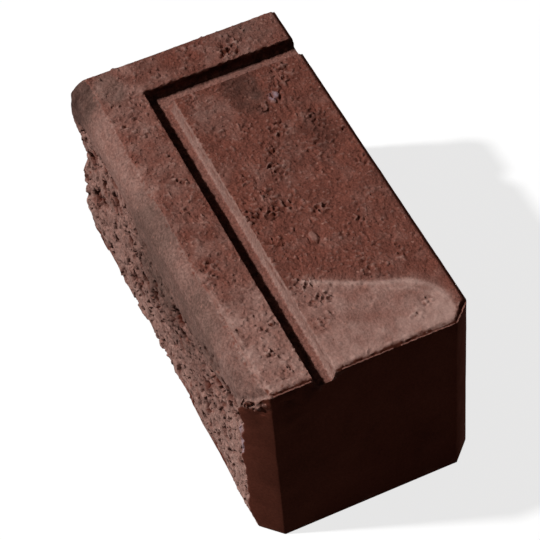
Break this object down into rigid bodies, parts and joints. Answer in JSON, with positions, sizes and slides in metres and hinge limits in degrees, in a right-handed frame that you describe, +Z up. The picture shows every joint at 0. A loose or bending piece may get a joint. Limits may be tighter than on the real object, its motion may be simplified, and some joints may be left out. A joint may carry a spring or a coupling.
{
  "type": "retaining wall block",
  "caption": "Corner unit of a retaining wall: solid reddish-brown concrete block with two broken faces, plain back and end, and an L-shaped interlock groove in its top.",
  "frame": {"origin": "middle of the bed, on the level floor the block lies on", "axes": "+X along the block towards the plain moulded end, +Y towards the plain side at the earth, -Y out of the long broken face, +Z up"},
  "size_m": [0.4, 0.2001, 0.2],
  "materials": {
    "concrete": "dry-cast reddish-brown concrete, matt, rough where it is split"
  },
  "bodies": {
    "root": {"wall_block": "concrete"}
  },
  "joints": []
}
